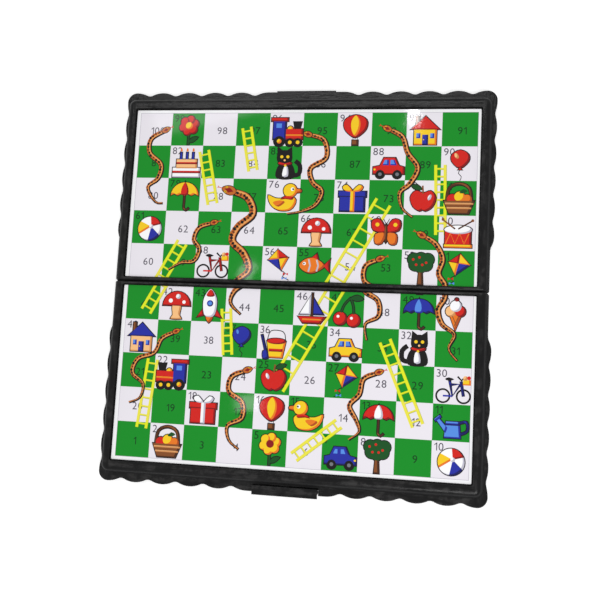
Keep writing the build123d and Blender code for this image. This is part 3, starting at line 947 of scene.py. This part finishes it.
def kitten():
    ears = both_sides([(.26, .7), (.28, .94), (.44, .82)], .46)
    collar = blob((.3, .48), (.48, .44), (.66, .48), (.64, .54), (.48, .5), (.32, .54))
    return outlined([
        ("black", curve([(.66, .16), (.88, .2), (.9, .44), (.78, .56)], .04)),
        ("black", blob((.28, .1), (.72, .1), (.7, .4), (.5, .56), (.3, .4))),
        *inked("black", circle(.46, .66, .2, 18), *ears),
        ("pure_white", blob((.42, .14), (.58, .14), (.56, .4), (.46, .4))),
        ("red", collar),
    ]) + [
        *dots("yellow", .045, 10, (.38, .69), (.55, .69)),
        ("peach", circle(.465, .59, .03, 8)),
        ("yellow", circle(.49, .44, .035, 8)),
    ]


def toy_train():
    wheels = (.2, .12), (.42, .12), (.72, .15)
    return outlined([
        ("black", [(.16, .5), (.28, .5), (.33, .74), (.11, .74)]),
        ("yellow", circle(.42, .54, .08, 14)),
        ("red", box(.06, .24, .58, .54)),
        ("blue", box(.54, .24, .9, .78)),
        ("red", box(.48, .76, .96, .86)),
        *[("black", circle(u, r + .04, r, 16)) for u, r in wheels],
    ]) + [
        ("sky", box(.62, .54, .82, .7)),
        ("yellow", box(.06, .34, .54, .38)),
        *[("yellow", circle(u, r + .04, r * .45, 10)) for u, r in wheels],
    ]


def fruit_basket():
    handle = curve([(.18, .44), (.24, .8), (.5, .92), (.76, .8), (.82, .44)], .03)
    canes = [(.13, .38), (.87, .38)], [(.18, .26), (.82, .26)]
    return outlined([
        ("brown", handle),
        ("red", circle(.32, .5, .14, 16)),
        ("orange", circle(.7, .5, .13, 16)),
        ("yellow", circle(.51, .57, .14, 16)),
        ("brown", [(.1, .46), (.9, .46), (.76, .1), (.24, .1)]),
    ]) + strokes("peach", .022, *canes) + [
        ("dark_green", blob((.5, .68), (.6, .78), (.72, .72), (.6, .66))),
    ]


def cake():
    candles = (.3, .475, .65)
    return outlined([
        ("pure_white", box(.1, .08, .9, .36)),
        ("peach", box(.2, .34, .8, .6)),
        *[("blue", box(u, .6, u + .05, .8)) for u in candles],
    ]) + [
        ("red", box(.1, .2, .9, .27)),
        ("red", box(.2, .46, .8, .52)),
        *[("orange", blob((u + .025, .94), (u + .06, .84), (u - .01, .84))) for u in candles],
    ]


# The motif on each of these numbered squares, whose numbers stand in a corner
MOTIFS = {
    99: flower, 96: toy_train, 94: hot_air_balloon, 92: house,
    82: cake, 85: kitten, 88: toy_car, 90: balloon,
    79: lambda: umbrella("yellow", "red"), 76: duck,
    74: lambda: gift_box("blue", "yellow"), 71: fruit_basket,
    61: beach_ball, 66: mushroom, 68: butterfly, 70: drum,
    58: bicycle, 55: fish, 52: tree, 51: kite,
    43: rocket, 46: sailing_boat, 47: cherries, 50: ice_cream,
    40: lambda: house("peach", "blue"), 37: lambda: balloon("blue", "sky"),
    36: bucket_and_spade, 32: kitten,
    22: toy_train, 25: apple, 27: kite, 30: lambda: bicycle("blue"),
    18: lambda: gift_box("red", "pure_white"), 15: duck,
    13: lambda: umbrella("red", "pure_white"), 11: watering_can,
    72: apple, 56: kite, 49: lambda: umbrella("blue", "sky"), 42: mushroom,
    34: lambda: toy_car("yellow"), 16: hot_air_balloon, 8: tree, 2: fruit_basket,
    5: lambda: flower("yellow", "dark_red"), 7: lambda: toy_car("blue"), 10: beach_ball,
}

# Ladders: foot, top and half width
LADDERS = [
    ((4.62, 2.2), (7.42, 7.36), .22),
    ((2.4, 7.22), (2.04, 8.84), .14),
    ((9.04, 6.44), (8.98, 8.46), .13),
    ((3.56, 8.24), (3.3, 9.56), .13),
    ((.6, 4.24), (1.56, 6.06), .15),
    ((8.6, 1.36), (7.62, 3.66), .15),
    ((.72, .84), (.92, 2.84), .14),
    ((5.22, .3), (6.44, 1.3), .13),
    ((3.14, 3.06), (3.02, 4.4), .13),
]

# Snakes: bends from the head to the tail, and half width
SNAKES = [
    ([(.76, 9.46), (.36, 9.22), (.34, 8.78), (.72, 8.42), (.66, 8), (.36, 7.72),
      (.62, 7.28), (.86, 7.24)], .058),
    ([(5.2, 9.34), (5.62, 9.18), (5.7, 8.66), (5.26, 8.34), (5.34, 7.92), (5.62, 7.66),
      (5.46, 7.26), (5.06, 7.06), (4.64, 6.98)], .06),
    ([(7.5, 9.5), (7.88, 9.28), (8.04, 8.82), (8.34, 8.38), (8.14, 7.92), (7.86, 7.64),
      (7.94, 7.2), (8.24, 6.94)], .06),
    ([(2.98, 7.62), (3.44, 7.44), (3.62, 6.96), (3.2, 6.56), (3.06, 6.14), (3.42, 5.78),
      (3.6, 5.3), (3.22, 4.94), (3.12, 4.58), (3.44, 4.26)], .095),
    ([(2.44, 6.66), (2.04, 6.52), (1.9, 6.16), (2.08, 5.88), (1.94, 5.52), (1.56, 5.46),
      (1.18, 5.24)], .052),
    ([(8.58, 6.4), (8.92, 6.18), (9.12, 5.76), (9.02, 5.34), (9.22, 4.98), (9.04, 4.6),
      (9.16, 4.2), (9.5, 3.92), (9.36, 3.52), (9.6, 3.2)], .062),
    ([(7.34, 5.7), (6.98, 5.52), (6.96, 5.08), (7.36, 4.8), (7.4, 4.36), (7.04, 4.12),
      (7.1, 3.66)], .058),
    ([(1.52, 3.66), (1.14, 3.46), (.94, 3.04), (.46, 2.84), (.32, 2.42), (.66, 2.12),
      (.6, 1.72), (.28, 1.56)], .05),
    ([(3.7, 2.64), (3.3, 2.46), (3.24, 2.04), (3.64, 1.74), (3.66, 1.3), (3.26, 1.06),
      (3.32, .66), (3.62, .42)], .06),
    ([(7.44, 2.76), (7.06, 2.58), (6.96, 2.14), (6.7, 1.82), (6.9, 1.44), (7, 1.12),
      (6.72, .88)], .056),
]


def square_of(number):
    """Column and row of a numbered square: odd rows run left to right, even rows back."""
    row, step = divmod(number - 1, COLUMNS)
    column = step if row % 2 == 0 else COLUMNS - 1 - step
    return column, row


def board_shapes(glyphs):
    """All that is printed on the board, from the bottom layer to the top."""
    squares = []
    numbers = []
    for number in range(1, COLUMNS * ROWS + 1):
        column, row = square_of(number)
        on_green = (column + row) % 2 == 0
        squares.append(("green" if on_green else "white", [box(column, row, column + 1, row + 1)]))
        ink = "number_green" if on_green else "number_grey"
        (u, v), anchor = (CORNER_NUMBER, 0) if number in MOTIFS else (MIDDLE_NUMBER, .5)
        numbers += number_shapes(number, ink, column + u, row + v, glyphs, anchor)
    drawn = []
    for foot, top, half_width in LADDERS:
        drawn += ladder(foot, top, half_width)
    for points, half_width in SNAKES:
        drawn += snake(points, half_width)
    shapes = squares + numbers + [(ink, [loop]) for ink, loop in drawn]
    for number, motif in MOTIFS.items():
        shapes += placed(motif(), *square_of(number), flip=number % 4 == 0)
    return shapes


# Printed sheets. half is 1 for the rear half and -1 for the front half.

CUT_TOLERANCE = 1e-7

# Where the faces of a sheet lie in its square texture
TEXTURE_WIDTH = .96
TEXTURE_EDGE = .02
TOP_START = .51
LOWER_SHARE = .8
RIGHT_BAND, LEFT_BAND, REAR_BAND, FRONT_BAND = .43, .445, .46, .475


def sheet_place(point, half):
    """A point in squares as metres on one half's sheet."""
    u, v = point
    row = REAR_ROW if half > 0 else FRONT_ROW
    return LEFT_MARGIN - HALF_WIDTH + u * COLUMN, half * SHEET_NEAR + (v - FOLD) * row


def sheet_outline(half):
    """The sheet's edge with rounded corners, from the rear right one round to the left."""
    near, far = sorted((half * SHEET_NEAR, half * SHEET_FAR))
    right, low, high = HALF_WIDTH - SHEET_CORNER, near + SHEET_CORNER, far - SHEET_CORNER
    quarter = math.pi / 2
    outline = []
    for turn, (x, y) in enumerate(((right, high), (-right, high), (-right, low), (right, low))):
        outline += arc(x, y, SHEET_CORNER, quarter * turn, quarter, CORNER_STEPS)
    return outline


def border_line(half):
    """The thin line round the outer three sides of the squares, as the rim of a box."""
    left, seam = sheet_place((0, FOLD), half)
    right, end = sheet_place((COLUMNS, FOLD + half * FOLD), half)
    width = BORDER_LINE_WIDTH
    low, high = sorted((seam, end + half * width))
    return "border_grey", [box(left - width, low, right + width, high)]


def inside(x, y, loops):
    """Whether a place lies in a shape, by the number of turns that its loops make round it."""
    turns = 0
    for loop in loops:
        ax, ay = loop[-1]
        for bx, by in loop:
            if (ay <= y) != (by <= y):
                way = 1 if by > ay else -1
                if way * ((bx - ax) * (y - ay) - (x - ax) * (by - ay)) > 0:
                    turns += way
            ax, ay = bx, by
    return turns != 0 if len(loops) == 1 else turns > 0


def overlay(shapes, outline):
    """One flat mesh of the outline, cut along every shape: places, faces and each face's ink.
    Each shape is (ink, loops), and later shapes cover earlier ones."""
    layers = [("paper", [outline])] + shapes
    places = []
    edges = []
    boxes = []
    for _, loops in layers:
        for loop in loops:
            start = len(places)
            places += [Vector(point) for point in loop]
            edges += [(start + step, start + (step + 1) % len(loop)) for step in range(len(loop))]
        xs, ys = zip(*[point for loop in loops for point in loop])
        boxes.append((min(xs), max(xs), min(ys), max(ys)))
    flat_places, _, faces = delaunay_2d_cdt(places, edges, [], 0, CUT_TOLERANCE, False)[:3]
    kept = []
    inks = []
    for face in faces:
        corners = [flat_places[index] for index in face]
        x = sum(corner.x for corner in corners) / len(corners)
        y = sum(corner.y for corner in corners) / len(corners)
        if not inside(x, y, [outline]):
            continue
        ink = "paper"
        on_green = False
        for (layer_ink, loops), (x_low, x_high, y_low, y_high) in zip(layers, boxes):
            if x_low < x < x_high and y_low < y < y_high and inside(x, y, loops):
                ink = layer_ink
                on_green = on_green or ink == "green"
        if ink == "ladder_yellow" and on_green:
            ink = "ladder_lime"
        kept.append(face)
        inks.append(ink)
    return flat_places, kept, inks


def add_thickness(bm, paper):
    """Walls and an underside below the flat print, in the slot of plain paper."""
    rim = [edge for edge in bm.edges if len(edge.link_faces) == 1]
    made = bmesh.ops.extrude_edge_only(bm, edges=rim)["geom"]
    lower = [item for item in made if isinstance(item, bmesh.types.BMVert)]
    for vert in lower:
        vert.co.z = SHEET_BOTTOM
    faces = [item for item in made if isinstance(item, bmesh.types.BMFace)]
    lower_edges = [
        item for item in made
        if isinstance(item, bmesh.types.BMEdge) and all(vert in lower for vert in item.verts)
    ]
    faces += bmesh.ops.contextual_create(bm, geom=lower_edges)["faces"]
    for face in faces:
        face.material_index = paper
    bmesh.ops.recalc_face_normals(bm, faces=bm.faces)


def lay_out(bm):
    """Texture places: the top above, the underside below, and a narrow band for each edge."""
    layer = bm.loops.layers.uv.new("OFBake")
    near = min(vert.co.y for vert in bm.verts)
    scale = TEXTURE_WIDTH / (2 * HALF_WIDTH)
    for face in bm.faces:
        face.normal_update()
        normal = face.normal
        for corner in face.loops:
            across = (corner.vert.co.x + HALF_WIDTH) * scale
            back = (corner.vert.co.y - near) * scale
            up = (corner.vert.co.z - SHEET_BOTTOM) * scale
            if normal.z > .5:
                place = (TEXTURE_EDGE + across, TOP_START + back)
            elif normal.z < -.5:
                place = (TEXTURE_EDGE + across * LOWER_SHARE, TEXTURE_EDGE + back * LOWER_SHARE)
            elif abs(normal.x) > abs(normal.y):
                place = (TEXTURE_EDGE + back, (RIGHT_BAND if normal.x > 0 else LEFT_BAND) + up)
            else:
                place = (TEXTURE_EDGE + across, (REAR_BAND if normal.y > 0 else FRONT_BAND) + up)
            corner[layer].uv = place


def printed_sheet(name, half, glyphs):
    """One half's sheet of real thickness, with an ink on each face of its top."""
    shapes = [border_line(half)]
    for ink, loops in board_shapes(glyphs):
        if any(half * (v - FOLD) > 0 for loop in loops for _, v in loop):
            shapes.append((ink, [[sheet_place(point, half) for point in loop] for loop in loops]))
    places, faces, inks = overlay(shapes, sheet_outline(half))
    slots = sorted(set(inks) | {"paper"})
    bm = bmesh.new()
    top = [bm.verts.new((place.x, place.y, SHEET_TOP)) for place in places]
    for face, ink in zip(faces, inks):
        if len(set(face)) > 2:
            made = bm.faces.new([top[index] for index in face])
            made.material_index = slots.index(ink)
    bmesh.ops.delete(bm, geom=[v for v in bm.verts if not v.link_faces], context="VERTS")
    add_thickness(bm, slots.index("paper"))
    lay_out(bm)
    mesh = bpy.data.meshes.new(name)
    bm.to_mesh(mesh)
    bm.free()
    for ink in slots:
        mesh.materials.append(ink_materials[ink])
    return add_object(name, mesh)


# Looks of the CAD nodes

def dress(material, *nodes):
    for node in nodes:
        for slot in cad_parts[node].material_slots:
            slot.material = material


dress(moulded_black(), "rear_case_shell", "front_case_shell", "latch_clasp")

tinned_sheet = brushed_metal("tinned_sheet", srgb(186, 188, 192), roughness=.38, line_scale=900)
dress(tinned_sheet, "rear_steel_plate", "front_steel_plate")

pin_wire = brushed_metal("pin_wire", srgb(178, 178, 182), roughness=.3, line_scale=1800)
dress(pin_wire, "left_hinge_pin", "right_hinge_pin", "latch_pin")

foot_rubber = plain_plastic("foot_rubber", srgb(34, 34, 36), .75, grain_scale=1500, relief=.35)
dress(foot_rubber, "rear_rubber_feet", "front_rubber_feet")

tray_plastic = plain_plastic("tray_plastic", srgb(62, 62, 66), .55, grain_scale=1100, relief=.3)
dress(tray_plastic, "storage_tray")

COUNTER_COLOURS = {
    "red": srgb(196, 34, 30), "yellow": srgb(238, 196, 36),
    "blue": srgb(34, 70, 170), "green": srgb(28, 132, 52),
}
magnet = brushed_metal("disc_magnet", srgb(150, 150, 154), roughness=.42, line_scale=1400)
for counter, colour in COUNTER_COLOURS.items():
    smooth = plain_plastic(f"counter_{counter}", colour, .26, grain_scale=700, relief=.12)
    dress(smooth, f"{counter}_counter")
    dress(magnet, f"{counter}_counter_magnet")

dress(die_plastic(), "playing_die")


# Prints

ink_materials = {name: ink_material(name, srgb(*levels)) for name, levels in INKS.items()}
digits = glyph_loops()
for name, half, body, node in (
    ("rear_printed_sheet", 1, "rear_half", "rear_board_print"),
    ("front_printed_sheet", -1, "front_half", "front_board_print"),
):
    sheet = printed_sheet(name, half, digits)
    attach(sheet, body)
    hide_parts(node)


# Stage

FLOOR_REACH = 6.0
FLOOR_GLOW = .42
ROOM_LIGHT = .56
PURE_LIGHT = (1, 1, 1, 1)


def seen(path):
    """1 for the rays that show the background: to the camera, in gloss and through clear pieces."""
    shown = math_node("MAXIMUM", path.outputs["Is Camera Ray"], path.outputs["Is Glossy Ray"])
    return math_node("MAXIMUM", shown, path.outputs["Is Transmission Ray"])


def pale_floor():
    """White floor that keeps a soft shadow and shows white to the camera."""
    material, tree, shader = new_material("floor_white")
    path = tree.nodes.new("ShaderNodeLightPath")
    plug(shader, {
        "Base Color": srgb(232, 232, 232),
        "Roughness": .9,
        "Specular IOR Level": 0.0,
        "Emission Color": PURE_LIGHT,
        "Emission Strength": product(seen(path), FLOOR_GLOW),
    })
    return material


def wide_floor():
    """A square plane under the feet, far wider than the picture."""
    corners = [(FLOOR_REACH * x, FLOOR_REACH * y, 0) for x, y in box(-1, -1, 1, 1)]
    mesh = bpy.data.meshes.new("floor")
    mesh.from_pydata(corners, [], [(0, 1, 2, 3)])
    mesh.materials.append(pale_floor())
    return add_object("floor", mesh)


floor = wide_floor()


def soft_lamp(name, place, aim, width, depth, watts):
    light = bpy.data.lights.new(name, "AREA")
    light.shape = "RECTANGLE"
    light.size = width
    light.size_y = depth
    light.energy = watts
    place = Vector(place)
    turn = (Vector(aim) - place).to_track_quat("-Z", "Y").to_matrix().to_4x4()
    add_object(name, light).matrix_world = Matrix.Translation(place) @ turn


# Lamps: name, place, aim, width, depth and watts
for lamp in (
    ("key", (-.2, .86, 1.4), (0, 0, 0), 1.0, .36, 5.0),
    ("fill", (.35, -.62, .85), (0, -.04, 0), .6, .4, 5.2),
    ("glint_rear_right", (.048, .523, 1.15), (.0707, .1093, .0108), .024, .036, .14),
    ("glint_fold", (-.298, .178, 1.15), (-.0312, .0087, .0108), .045, .03, .045),
    ("glint_front", (-.280, -.107, 1.15), (-.026, -.0767, .0108), .03, .05, .045),
):
    soft_lamp(*lamp)


def studio_world():
    """Even light on the object, plain white behind it."""
    world = bpy.data.worlds.new("studio")
    world.use_nodes = True
    tree = world.node_tree
    tree.nodes.clear()
    light = tree.nodes.new("ShaderNodeBackground")
    shown = seen(tree.nodes.new("ShaderNodeLightPath"))
    strength = remap(shown, ROOM_LIGHT, 1.0, 0.0, 1.0)
    plug(light, {"Color": PURE_LIGHT, "Strength": strength})
    output = tree.nodes.new("ShaderNodeOutputWorld")
    tree.links.new(light.outputs["Background"], output.inputs["Surface"])
    return world


def photo_camera():
    """The camera at the photograph's place, rolled about its line of sight."""
    forward = (CAMERA_AIM - CAMERA_PLACE).normalized()
    level = forward.cross(Vector((0, 1, 0))).normalized()
    right = Matrix.Rotation(CAMERA_ROLL, 3, -forward) @ level
    up = right.cross(forward)
    lens = bpy.data.cameras.new("photo_camera")
    lens.lens = LENS_MM
    lens.sensor_width = SENSOR_MM
    lens.clip_start = NEAREST_SEEN
    camera = add_object("photo_camera", lens)
    turn = Matrix((right, up, -forward)).transposed().to_4x4()
    camera.matrix_world = Matrix.Translation(CAMERA_PLACE) @ turn
    return camera


bpy.context.scene.world = studio_world()
bpy.context.scene.camera = photo_camera()
bpy.context.scene.view_settings.view_transform = "Standard"
